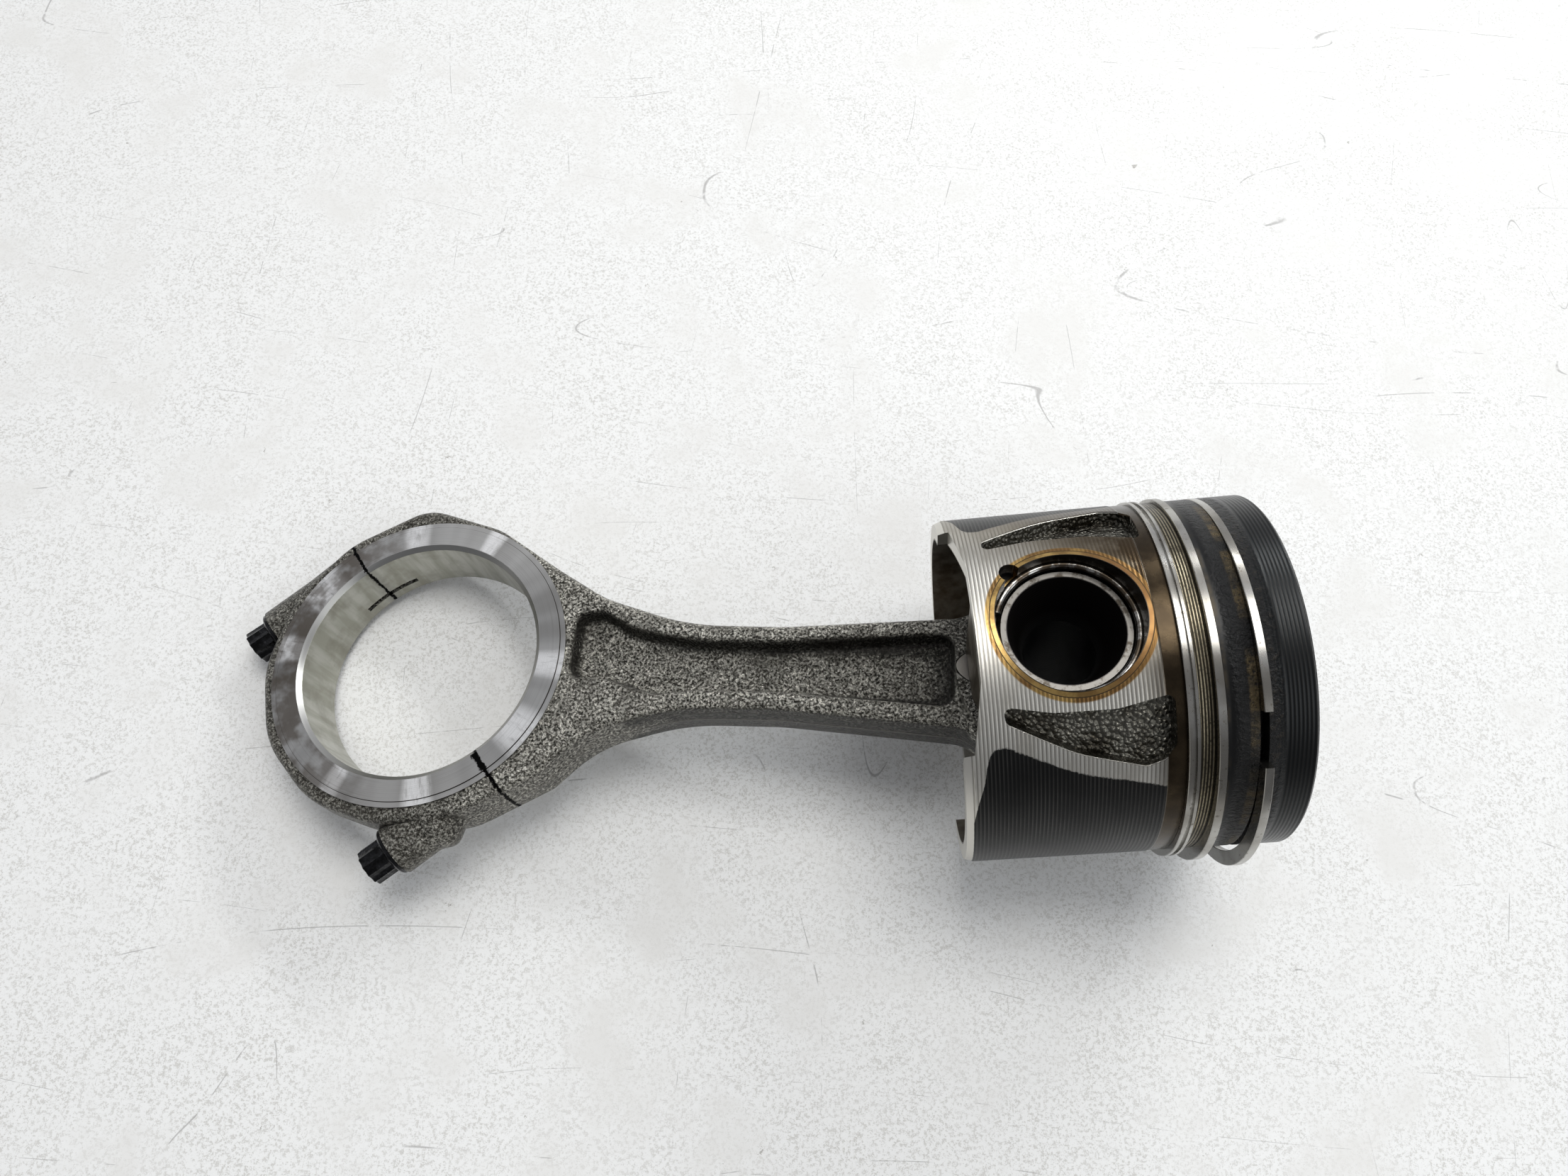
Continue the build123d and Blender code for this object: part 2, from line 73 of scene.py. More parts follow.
# Chip out of the joint: its ends along the joint, and how deep it goes
CHIP_ENDS = (-37.8, -32.6)
CHIP_FLOOR = 8.4
JOINT_REACH = 46
# Fans of light on the side faces: direction and half width, in degrees
SIDE_FACE_FANS = ((149, 8), (178, 5), (103, 5), (67, 3.5))

joints = {joint["name"]: joint for joint in frame["joints"]}
pin_axis = Vector(joints["rod_swing"]["axis"])
pin_middle = Vector(joints["rod_swing"]["pos_m"])


def place_of(turn, pin_x):
    """Move and turn into a drawing frame whose X axis meets the pin's middle at pin_x, in mm."""
    return Vector((pin_x * MM, 0, 0)) - turn.to_matrix() @ pin_middle, turn


def out_of(place):
    """Matrix from a drawing frame in mm back to the row frame in metres."""
    spot, turn = place
    back = turn.to_matrix().to_4x4().inverted()
    return back @ Matrix.Translation(-spot) @ Matrix.Scale(MM, 4)


# The rod is drawn with its big-end bore on Z and the gudgeon pin towards +X.
ROLL = math.atan2(pin_axis.y, pin_axis.z)
PITCH = math.asin(-pin_axis.x)
ROD_TURN = Euler((ROLL, PITCH, 0))
ROD_PLACE = place_of(ROD_TURN, ROD_LENGTH)


class Value:
    """A number that varies over a surface, worked out by the nodes of one material."""

    def __init__(self, finish, socket):
        self.finish = finish
        self.socket = socket

    def math(self, operation, *others):
        """One math node that takes this value first."""
        node = self.finish.tree.nodes.new("ShaderNodeMath")
        node.operation = operation
        for place, other in zip(node.inputs, (self, *others)):
            self.finish.feed(place, other)
        return Value(self.finish, node.outputs[0])

    def __add__(self, other):
        return self.math("ADD", other)

    def __sub__(self, other):
        return self.math("SUBTRACT", other)

    def __mul__(self, other):
        return self.math("MULTIPLY", other)

    def __truediv__(self, other):
        return self.math("DIVIDE", other)

    def __abs__(self):
        return self.math("ABSOLUTE")

    def at_most(self, limit):
        return self.math("MINIMUM", limit)

    def hypot(self, other):
        """How far the point with these two coordinates is from their origin."""
        return (self * self + other * other).math("SQRT")

    def inverted(self):
        """0 where it is 1, and 1 where it is 0."""
        return self.math("MULTIPLY_ADD", -1, 1)

    def above(self, edge, soft=0.1):
        """0 below the edge and 1 above it, with a soft step."""
        node = self.finish.tree.nodes.new("ShaderNodeMapRange")
        node.interpolation_type = "SMOOTHSTEP"
        self.finish.feed(node.inputs["Value"], self)
        node.inputs["From Min"].default_value = edge - soft
        node.inputs["From Max"].default_value = edge + soft
        return Value(self.finish, node.outputs["Result"])

    def below(self, edge, soft=0.1):
        return self.above(edge, soft).inverted()

    def between(self, low, high, soft=0.1):
        return self.above(low, soft) * self.below(high, soft)

    def wave(self, pitch):
        """Runs from -1 to 1 and back once in every pitch, in mm."""
        return (self * (2 * math.pi / pitch)).math("SINE")


class Finish:
    """One procedural material, painted in layers, with places in mm in a chosen frame."""

    def __init__(self, name, place=ROD_PLACE):
        self.material = bpy.data.materials.new(name)
        self.material.use_nodes = True
        self.tree = self.material.node_tree
        self.shader = self.tree.nodes["Principled BSDF"]
        coordinates = self.tree.nodes.new("ShaderNodeTexCoord")
        mapping = self.tree.nodes.new("ShaderNodeMapping")
        mapping.inputs["Location"].default_value = place[0]
        mapping.inputs["Rotation"].default_value = place[1]
        self.object_place = coordinates.outputs["Object"]
        self.tree.links.new(self.object_place, mapping.inputs["Vector"])
        scaled = self.tree.nodes.new("ShaderNodeVectorMath")
        scaled.operation = "SCALE"
        scaled.inputs["Scale"].default_value = 1 / MM
        self.tree.links.new(mapping.outputs[0], scaled.inputs[0])
        self.position = scaled.outputs[0]
        parts = self.tree.nodes.new("ShaderNodeSeparateXYZ")
        self.tree.links.new(self.position, parts.inputs[0])
        self.x, self.y, self.z = [Value(self, socket) for socket in parts.outputs]
        self.height = None

    def feed(self, socket, value):
        """Sets a socket from a number, a colour or another node's output."""
        if isinstance(value, Value):
            self.tree.links.new(value.socket, socket)
        elif hasattr(value, "is_output"):
            self.tree.links.new(value, socket)
        elif isinstance(value, tuple) and len(value) == 3 and len(socket.default_value) == 4:
            socket.default_value = (*value, 1)
        else:
            socket.default_value = value

    def spread(self, size, stretch=(1, 1, 1), at=None, seed=0.0):
        """Places for a noise with spots about this many mm across, moved on by the seed."""
        node = self.tree.nodes.new("ShaderNodeVectorMath")
        node.operation = "MULTIPLY_ADD"
        self.tree.links.new(at or self.position, node.inputs[0])
        node.inputs[1].default_value = [1 / (size * s) for s in stretch]
        node.inputs[2].default_value = (seed, seed * 1.7, seed * 2.3)
        return node.outputs[0]

    def noise(self, size, detail=3, rough=0.55, stretch=(1, 1, 1), at=None, seed=0.0):
        """Cloudy noise from 0 to 1."""
        node = self.tree.nodes.new("ShaderNodeTexNoise")
        node.inputs["Scale"].default_value = 1
        node.inputs["Detail"].default_value = detail
        node.inputs["Roughness"].default_value = rough
        self.tree.links.new(self.spread(size, stretch, at, seed), node.inputs["Vector"])
        return Value(self, node.outputs["Fac"])

    def pits(self, size, seed=0.0):
        """Distance to the nearest of many scattered points."""
        node = self.tree.nodes.new("ShaderNodeTexVoronoi")
        node.inputs["Scale"].default_value = 1
        self.tree.links.new(self.spread(size, seed=seed), node.inputs["Vector"])
        return Value(self, node.outputs["Distance"])

    def vector(self, *parts):
        """Three values as the place at which a noise is looked up."""
        node = self.tree.nodes.new("ShaderNodeCombineXYZ")
        for place, part in zip(node.inputs, parts):
            self.feed(place, part)
        return node.outputs[0]

    def base(self, color, roughness, metallic):
        """What the surface is where nothing covers it."""
        self.color, self.roughness, self.metallic = color, roughness, metallic

    def mix(self, mask, under, over, colors=False):
        """Under where the mask is 0 and over where it is 1."""
        node = self.tree.nodes.new("ShaderNodeMix")
        node.data_type = "RGBA" if colors else "FLOAT"
        factor, a, b = (0, 6, 7) if colors else (0, 2, 3)
        self.feed(node.inputs[factor], mask)
        self.feed(node.inputs[a], under)
        self.feed(node.inputs[b], over)
        return node.outputs[2] if colors else Value(self, node.outputs[0])

    def layer(self, mask, color=None, roughness=None, metallic=None):
        """Paints over what is there wherever the mask is 1."""
        if color is not None:
            self.color = self.mix(mask, self.color, color, colors=True)
        if roughness is not None:
            self.roughness = self.mix(mask, self.roughness, roughness)
        if metallic is not None:
            self.metallic = self.mix(mask, self.metallic, metallic)

    def raised(self, height):
        """Adds to the height of the surface, in mm."""
        self.height = height if self.height is None else self.height + height

    def done(self, **inputs):
        """Wires all up to the shader, with more of its inputs by name, and returns the material."""
        self.feed(self.shader.inputs["Base Color"], self.color)
        self.feed(self.shader.inputs["Roughness"], self.roughness)
        self.feed(self.shader.inputs["Metallic"], self.metallic)
        for name, value in inputs.items():
            self.feed(self.shader.inputs[name.replace("_", " ")], value)
        if self.height is not None:
            bump = self.tree.nodes.new("ShaderNodeBump")
            bump.inputs["Strength"].default_value = 1.0
            bump.inputs["Distance"].default_value = MM
            self.feed(bump.inputs["Height"], self.height)
            self.tree.links.new(bump.outputs[0], self.shader.inputs["Normal"])
        return self.material


def paint(material, *names):
    """Gives a CAD node, or a new piece, its one material."""
    for name in names:
        piece = nodes.get(name) or bpy.data.objects[name]
        piece.data.materials.clear()
        piece.data.materials.append(material)


def as_forged(skin, radius, depth):
    """Speckled dark skin with painted glints, darker round the cap, and with painted shade in the
    recesses. Returns its relief.
    """
    grain_and_glints = skin.noise(0.64, 4, 0.8)
    blotches = skin.noise(9, 4, 0.6, seed=3.0)
    skin.base((0.155, 0.148, 0.128), 0.34, 0.95)
    # Lighter specks: the grain's own tone, and in part painted glints of its bumps.
    skin.layer(grain_and_glints.above(0.55, 0.05), (0.72, 0.70, 0.62), 0.26)
    skin.layer(grain_and_glints.below(0.445, 0.055), (0.014, 0.013, 0.011), 0.36)
    skin.layer(blotches.above(0.56, 0.14) * 0.4, (0.040, 0.036, 0.030), 0.24)
    round_cap = radius.above(SIDE_FACE_RADIUS - 1, 2) * skin.x.below(14, 14)
    skin.layer(round_cap * 0.5, (0.026, 0.023, 0.018), 0.3)
    in_recess = skin.x.above(RECESS_START, 1) * abs(skin.y).below(RECESS_HALF, 0.5)
    recess_wall = depth.between(WEB_HALF + 0.5, RECESS_RIM, 0.5) * in_recess
    # Painted shade on the walls of the recesses.
    skin.layer(recess_wall * 0.75, (0.020, 0.018, 0.015), 0.26)
    edges = skin.y.below(WEB_SIDES[0], 0.8) + skin.y.above(WEB_SIDES[1], 2.0)
    corners = edges + skin.x.above(WEB_END, 3)
    shaded_web_corners = depth.below(WEB_HALF + 0.8, 0.4) * corners.at_most(1) * skin.x.above(64, 8)
    # Painted shade on the web next to the recess walls and at its end towards the small end.
    skin.layer(shaded_web_corners * 0.75, (0.018, 0.017, 0.016), 0.24)
    parting = abs(skin.z + (skin.noise(6, 2) - 0.5) * 0.8).below(0.35, 0.25)
    off_ring = radius.above(SIDE_RIM_RADIUS - 0.4, 0.5)
    skin.layer(parting * off_ring * 0.7, (0.16, 0.15, 0.13), 0.4)
    return grain_and_glints * 0.45 + skin.noise(1.9, 3, 0.6, seed=5.0) * 0.5 + parting * 0.12


def ground_small_end(skin, depth):
    """The slanted faces of the small end, ground inside their forged edge."""
    from_centre = skin.x - ROD_LENGTH
    slope = from_centre * -SMALL_END_SLOPE + SMALL_END_HALF
    from_pin = from_centre.hypot(skin.y)
    tongue = (from_centre + TONGUE_LENGTH) * TONGUE_BREADTH - skin.y * skin.y
    ground = (from_pin.below(GROUND_RADIUS, 0.15) + tongue.above(0, 1.0)).at_most(1)
    small_face = (depth - slope).above(-0.06, 0.02) * skin.x.above(130, 1) * ground
    skin.layer(small_face, (0.20, 0.19, 0.175), 0.34, 1.0)
    return small_face


def fans_of_light(round_x, round_y):
    """1 in the directions from the bore in which a turned face mirrors a light."""
    glare = None
    for direction, half_width in SIDE_FACE_FANS:
        lean = math.radians(direction)
        towards = abs(round_x * math.cos(lean) + round_y * math.sin(lean))
        edge = math.cos(math.radians(half_width))
        fan = towards.above(edge, 1 - edge)
        glare = fan if glare is None else glare.math("MAXIMUM", fan)
    return glare


def turned_sides(skin, radius, depth):
    """Side faces of the big end, bright and stained, with painted reflection and painted
    highlights. Returns where they are.
    """
    on_side = radius.below(SIDE_RIM_RADIUS + 0.2, 0.05) * skin.x.below(60, 1)
    side_face = depth.above(BIG_END_HALF - 0.37, 0.02) * on_side
    round_x, round_y = skin.x / radius, skin.y / radius
    sectors = skin.vector(round_x * 2.6, round_y * 2.6, radius * 0.01)
    shades = skin.noise(1, 2, 0.5, at=sectors, seed=1.3)
    rays = skin.noise(1, 4, 0.75, at=skin.vector(round_x * 17, round_y * 17, radius * 0.12))
    glare = fans_of_light(round_x, round_y) * rays.above(0.36, 0.16)
    rings = skin.noise(1, 3, 0.8, at=skin.vector(radius * 5, round_x, round_y))
    stain = skin.x.below(-12, 16) * skin.noise(7, 3, 0.6, seed=9.0).above(0.46, 0.12)
    rim = radius.between(SIDE_FACE_RADIUS - 0.05, SIDE_FACE_RADIUS + 0.1, 0.05)
    skin.layer(side_face, (0.36, 0.355, 0.345), 0.34, 1.0)
    # Painted reflection: lighter and darker sectors round the bore.
    skin.layer(side_face * shades.above(0.55, 0.05) * 0.5, (0.52, 0.515, 0.50), 0.28)
    skin.layer(side_face * shades.below(0.44, 0.08) * 0.7, (0.20, 0.195, 0.185), 0.36)
    # Painted highlight: near-white fans where the turned face mirrors a light.
    skin.layer(side_face * glare, (0.97, 0.96, 0.94), 0.24)
    skin.layer(side_face * rings.above(0.58, 0.1) * 0.3, (0.17, 0.165, 0.155), 0.36)
    skin.layer(side_face * stain * 0.7, (0.085, 0.065, 0.045), 0.36)
    skin.layer(side_face * rim, (0.06, 0.055, 0.05), 0.5)
    return side_face


def bored_big_end(skin, radius, depth):
    """The bore, with upright bands and dull patches, and its chamfers. Returns where both are."""
    bore = radius.below(BORE_RADIUS + 0.12, 0.03)
    upright = skin.vector(skin.x / radius * 9, skin.y / radius * 9, skin.z * 0.04)
    bands = skin.noise(1, 3, 0.6, at=upright, seed=4.0)
    dull = skin.noise(9, 4, 0.6, seed=14.0).above(0.56, 0.12)
    skin.layer(bore, (0.35, 0.35, 0.30), 0.36, 1.0)
    skin.layer(bore * bands.above(0.52, 0.14) * 0.7, (0.54, 0.54, 0.50), 0.32)
    skin.layer(bore * dull * 0.5, (0.22, 0.21, 0.17), 0.38)
    chamfer_depth = depth.between(BIG_END_HALF - 1.3, BIG_END_HALF + 0.05, 0.02)
    mouth = radius.below(BORE_RADIUS + BORE_CHAMFER + 0.1, 0.03) * chamfer_depth
    skin.layer(mouth * radius.above(BORE_RADIUS + 0.05, 0.02), (0.36, 0.355, 0.34), 0.3, 1.0)
    return bore, mouth


def broken_joint(skin, radius, depth, bore):
    """The jagged line between rod and cap, with a chip out of it at the lower side."""
    towards_cap = skin.x * -math.sin(JOINT_ANGLE) + skin.y * math.cos(JOINT_ANGLE)
    along_joint = skin.x * math.cos(JOINT_ANGLE) + skin.y * math.sin(JOINT_ANGLE)
    ragged = towards_cap + (skin.noise(2.4, 4, 0.85, seed=2.0) - 0.5) * 2.6
    crack = abs(ragged).below(0.42, 0.1) * radius.below(JOINT_REACH, 0.5)
    chip_edge = (skin.noise(1.5, 4, 0.8, seed=12.0) - 0.5) * 3.0
    chip = (towards_cap + chip_edge).between(-0.3, 1.0, 0.12)
    chip = chip * along_joint.between(*CHIP_ENDS, 0.2) * depth.above(CHIP_FLOOR, 0.1)
    broken = (crack + chip).at_most(1)
    oil_beside = abs(towards_cap).below(1.8, 1.6) * bore * skin.noise(1.6, 3, seed=6.0)
    skin.layer(oil_beside * 0.7, (0.05, 0.045, 0.035), 0.3)
    skin.layer(broken, (0.004, 0.004, 0.004), 0.7, 1.0)
    skin.raised(broken * -0.6)


def turning_direction(skin):
    """The way round the big-end bore, in which the side faces were turned."""
    axis_foot = out_of(ROD_PLACE) @ Vector((0, 0, 0))
    axis_tip = out_of(ROD_PLACE) @ Vector((0, 0, 1 / MM))
    outward = skin.tree.nodes.new("ShaderNodeVectorMath")
    outward.operation = "SUBTRACT"
    skin.tree.links.new(skin.object_place, outward.inputs[0])
    outward.inputs[1].default_value = axis_foot
    tangent = skin.tree.nodes.new("ShaderNodeVectorMath")
    tangent.operation = "CROSS_PRODUCT"
    tangent.inputs[0].default_value = axis_tip - axis_foot
    skin.tree.links.new(outward.outputs[0], tangent.inputs[1])
    in_world = skin.tree.nodes.new("ShaderNodeVectorTransform")
    in_world.vector_type = "VECTOR"
    in_world.convert_from = "OBJECT"
    in_world.convert_to = "WORLD"
    skin.tree.links.new(tangent.outputs[0], in_world.inputs[0])
    return in_world.outputs[0]


def forged_steel():
    """Dark forging skin with the machined places of rod and cap bright."""
    skin = Finish("forged_steel")
    radius = skin.x.hypot(skin.y)
    depth = abs(skin.z)
    relief = as_forged(skin, radius, depth)
    small_face = ground_small_end(skin, depth)
    side_face = turned_sides(skin, radius, depth)
    bore, mouth = bored_big_end(skin, radius, depth)
    machined = (side_face + bore + mouth + small_face).at_most(1)
    skin.raised(relief * machined.inverted())
    broken_joint(skin, radius, depth, bore)
    return skin.done(Anisotropic=side_face * 0.5, Tangent=turning_direction(skin))


paint(forged_steel(), "connecting_rod", "rod_cap")

# Cap bolts: black steel with a round flange and twelve points, screwed in through the cap.
# In the solids they are plain, so these stand for them, with a thread and worn corners.

# Radii and heights above the seat, in mm
BOLT_OUTLINE = (
    (0, -47.5), (3.0, -47.5), (3.42, -47.0), (3.42, -29.6), (3.95, -29.0), (3.95, -0.3), (4.2, 0),
    (6.0, 0), (6.3, 0.25), (6.3, 0.95), (5.9, 1.35), (5.0, 1.7), (0, 1.8),
)
THREAD_OUTLINE = ((3.38, -47.1), (3.38, -46.2), (3.98, -46.65))
THREAD_TURNS = 16
THREAD_PITCH = 1.0
STEPS_PER_TURN = 32
HEAD_POINTS = 12
HEAD_BOTTOM = 1.5
HEAD_TOP = 7.6
HEAD_CORNER = 4.8
HEAD_VALLEY = 4.3
HEAD_WEAR = 0.4
HEAD_RIM = 1.5
DISH_SLOPE = 0.9
DISH_DEPTH = 1.3
# The seats' distance from the bore's centre, and the bolts' from each other
BOLT_SEAT = 29.5
BOLT_SPACING = 74.6


def outline(shape, points, closed=False):
    """Corners in the XZ plane joined by edges."""
    corners = [shape.verts.new((x, 0, z)) for x, z in points]
    pairs = list(zip(corners, corners[1:]))
    if closed:
        pairs.append((corners[-1], corners[0]))
    return corners + [shape.edges.new(pair) for pair in pairs]


def spin(shape, geometry, turns=1.0, steps=48, climb=0.0, copies=False):
    """Carries geometry round the Z axis, and up it by the climb."""
    bmesh.ops.spin(
        shape,
        geom=geometry,
        cent=(0, 0, 0),
        axis=(0, 0, 1),
        dvec=(0, 0, climb / steps),
        angle=2 * math.pi * turns,
        steps=steps,
        use_merge=turns == 1 and not copies,
        use_duplicate=copies,
    )


def piece_of(name, shape, matrix, body, node, sharp=30):
    """Makes a closed shape in mm one piece that stands for a CAD node."""
    bmesh.ops.remove_doubles(shape, verts=shape.verts[:], dist=0.0005)
    bmesh.ops.holes_fill(shape, edges=[edge for edge in shape.edges if edge.is_boundary])
    bmesh.ops.recalc_face_normals(shape, faces=shape.faces[:])
    bmesh.ops.transform(shape, matrix=matrix, verts=shape.verts[:])
    for face in shape.faces:
        face.smooth = True
    for edge in shape.edges:
        edge.smooth = edge.calc_face_angle(0) < math.radians(sharp)
    mesh = bpy.data.meshes.new(name)
    shape.to_mesh(mesh)
    shape.free()
    piece = bpy.data.objects.new(name, mesh)
    bpy.context.scene.collection.objects.link(piece)
    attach(piece, body)
    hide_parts(node)


def on_top(part):
    """True for an edge or a face in the plane of the head's top."""
    return min(vert.co.z for vert in part.verts) > HEAD_TOP - 0.01


def bolt_head(shape):
    """Twelve-point head with worn corners and a recess in its top."""
    circle = bmesh.ops.create_circle(
        shape, cap_ends=True, radius=HEAD_CORNER, segments=2 * HEAD_POINTS
    )
    ring = circle["verts"]
    for corner in ring[::2]:
        corner.co *= HEAD_VALLEY / HEAD_CORNER
    for corner in ring:
        corner.co.z = HEAD_BOTTOM
    foot = ring[0].link_faces[0]
    top = bmesh.ops.extrude_face_region(shape, geom=[foot], use_keep_orig=True)["geom"]
    top_corners = [part for part in top if isinstance(part, bmesh.types.BMVert)]
    bmesh.ops.translate(shape, vec=(0, 0, HEAD_TOP - HEAD_BOTTOM), verts=top_corners)
    rim = [edge for edge in shape.edges if on_top(edge)]
    bmesh.ops.bevel(
        shape, geom=rim, offset=HEAD_WEAR, segments=3, profile=0.5, affect="EDGES", material=-1
    )
    flats = [face for face in shape.faces if on_top(face)]
    bmesh.ops.inset_region(shape, faces=flats, thickness=HEAD_RIM, depth=0)
    inner = [face for face in flats if face.is_valid]
    bmesh.ops.inset_region(shape, faces=inner, thickness=DISH_SLOPE, depth=-DISH_DEPTH)


def bolt(name, node, side):
    """One cap bolt, on the +1 or -1 side of the bore along the joint."""
    shape = bmesh.new()
    spin(shape, outline(shape, BOLT_OUTLINE))
    thread = outline(shape, THREAD_OUTLINE, closed=True)
    thread_length = THREAD_TURNS * THREAD_PITCH
    spin(shape, thread, THREAD_TURNS, THREAD_TURNS * STEPS_PER_TURN, thread_length)
    bolt_head(shape)
    across = Vector((math.cos(JOINT_ANGLE), math.sin(JOINT_ANGLE), 0))
    to_cap = Vector((-across.y, across.x, 0))
    seat = across * side * BOLT_SPACING / 2 + to_cap * BOLT_SEAT
    frame_of_bolt = Matrix((across, to_cap.cross(across), to_cap)).transposed().to_4x4()
    matrix = out_of(ROD_PLACE) @ Matrix.Translation(seat) @ frame_of_bolt
    piece_of(name, shape, matrix, "rod_body", node)


bolt("upper_bolt", "upper_cap_bolt", 1)
bolt("lower_bolt", "lower_cap_bolt", -1)

black_steel = Finish("black_bolt_steel")
grime = black_steel.noise(1.5, 4, 0.6)
black_steel.base((0.022, 0.022, 0.024), 0.12, 1.0)
black_steel.layer(grime.above(0.5, 0.08), (0.006, 0.006, 0.006), 0.25)
black_steel.raised(grime * 0.35)
paint(black_steel.done(Coat_Weight=0.25, Coat_Roughness=0.1), "upper_bolt", "lower_bolt")

# Bushes: bronze linings, pressed into the small end and into both pin bosses of the piston.
# Oil has stained them, most of all on the side towards the crown.

# The piston is drawn with the gudgeon pin on Z and the crown towards +X. So its frame is
# the rod's, swung round the pin until X is the axis of the top ring.
to_crown = ROD_TURN.to_matrix() @ Vector(joints["top_ring_turn"]["axis"])
SWING = math.atan2(to_crown.y, to_crown.x)
PISTON_PLACE = place_of(Euler((ROLL, PITCH, -SWING)), 0)
# Radii between which the end faces of the bushes show
BUSH_FACE = (15.8, 16.7)

bronze = Finish("bush_bronze", PISTON_PLACE)
from_pin = bronze.x.hypot(bronze.y)
smears = bronze.noise(3.5, 4, 0.6)
bronze.base((0.42, 0.28, 0.10), 0.3, 1.0)
bronze.layer(smears.above(0.5, 0.12) * 0.8, (0.16, 0.095, 0.035), 0.35)
bronze.layer(bronze.x.above(4, 8) * 0.8, (0.15, 0.075, 0.032), 0.35)
# Painted shade: the bush's inside, within its end face, is darkened.
bronze.layer(from_pin.below(BUSH_FACE[0], 0.08), (0.045, 0.037, 0.028), 0.26)
bronze.layer(from_pin.above(BUSH_FACE[1], 0.08), (0.05, 0.035, 0.02), 0.5)
paint(bronze.done(), "front_pin_bush", "rear_pin_bush", "small_end_bush")

# Gudgeon pin: a hollow pin of ground steel, floating in the bushes between two circlips.
# Inside, it is painted near black, as painted shade.
PIN_END = 32.5
PIN_HOLLOW = 9.0
PIN_MOUTH = 12.7
PIN_RIM = 14.1
DRILLING_PITCH = 0.7

pin_steel = Finish("pin_steel", PISTON_PLACE)
from_axis = pin_steel.x.hypot(pin_steel.y)
pin_end = abs(pin_steel.z).above(PIN_END, 0.3)
oily = pin_steel.noise(2.5, 4, 0.7)
pin_steel.base((0.34, 0.33, 0.31), 0.24, 1.0)
pin_steel.layer(oily.above(0.55, 0.12) * 0.6, (0.16, 0.12, 0.08), 0.3)
pin_steel.layer(pin_end, (0.105, 0.10, 0.092), 0.3)
# Painted highlight: a lighter band round the rim of each pin end, on its chamfer.
pin_steel.layer(pin_end * from_axis.above(PIN_RIM, 0.12), (0.20, 0.195, 0.18), 0.24)
pin_steel.layer(pin_end * oily.above(0.56, 0.07), (0.035, 0.03, 0.024), 0.28)
# Painted shade: the pin's hollow is near black, darkest deep inside.
pin_steel.layer(from_axis.below(PIN_MOUTH + 0.05, 0.1), (0.014, 0.012, 0.011), 0.3, 0.7)
pin_steel.layer(from_axis.below(PIN_HOLLOW, 0.6), (0.004, 0.004, 0.004), 0.5, 0.0)
drilled = pin_steel.z.wave(DRILLING_PITCH) * 0.5 + 0.5
pin_steel.raised(drilled * from_axis.below(PIN_MOUTH, 0.2) * 0.02)
paint(pin_steel.done(), "gudgeon_pin")

# Circlips: rings of spring wire, snapped into grooves in the bushes outside the pin.
# The wire is bright, with stains of oil.
wire_steel = Finish("circlip_wire", PISTON_PLACE)
wire_steel.base((0.40, 0.39, 0.37), 0.2, 1.0)
wire_steel.layer(wire_steel.noise(3.0, 3).above(0.48, 0.1), (0.07, 0.055, 0.04), 0.3)
paint(wire_steel.done(), "front_circlip", "rear_circlip")

# Piston: cast aluminium, turned outside. Its skirt panels carry a dark coating,
# the pin bosses have rough cast pockets beside them, and the crown is black with carbon.

# Heights along the piston from the gudgeon pin's axis, in mm
SKIRT_TOP = 16.8
OIL_GROOVE = (20.7, 22.9)
SECOND_GROOVE = (26.5, 28.2)
TOP_GROOVE = (35.1, 36.8)
CROWN_FACE = 46.72
BOWL_BOTTOM = 30
# Radii round the piston's axis, which passes the pin at this offset
PIN_OFFSET = 0.8
BOWL_RADIUS = 25
INSIDE_RADIUS = 37.3
LAND_RADIUS = 40.9
SKIRT_RADIUS = 41.3
# Radii round the pin's axis
GOLD_RING = (16.8, 17.75)
CIRCLIP_NOTCH = (16.95, 19.4)
# The notch also lies between these radii of the piston, and below this height
NOTCH_RADII = (33, 41.2)
NOTCH_TOP = -8
# Cast pockets: heights, radii, and angles from the pin's direction in degrees
POCKET_HEIGHTS = (-17, 19)
POCKET_RADII = (37.6, 41.15)
POCKET_ANGLES = (20, 52)
# Pitches of the turning marks
SKIRT_PITCH = 0.85
THIRD_LAND_PITCH = 0.66
TOP_LAND_PITCH = 0.82
# Height, and angle from the pin's direction at which the coating of a panel begins there
COATING_EDGE = (
    (-23.2, 64), (-22.4, 58), (-20.7, 49), (-19.9, 43), (-18.5, 39), (-16.5, 38.3), (-13.3, 40),
    (-8.2, 43.4), (-2.7, 47), (2.8, 49.5), (10.2, 51.8), (14.7, 53.6), (17, 54.5),
)
LOWEST_ANGLE, HIGHEST_ANGLE = 30, 70
SOOT = (0.019, 0.019, 0.019)


def curve_of(finish, value, points, low, high):
    """A value looked up in a smooth curve drawn through points."""
    node = finish.tree.nodes.new("ShaderNodeFloatCurve")
    line = node.mapping.curves[0]
    first, last = points[0][0], points[-1][0]
    places = [((x - first) / (last - first), (y - low) / (high - low)) for x, y in points]
    line.points[0].location = places[0]
    line.points[1].location = places[-1]
    for place in places[1:-1]:
        line.points.new(*place)
    for point in line.points:
        point.handle_type = "AUTO_CLAMPED"
    node.mapping.update()
    finish.feed(node.inputs["Value"], (value - first) / (last - first))
    return Value(finish, node.outputs[0]) * (high - low) + low


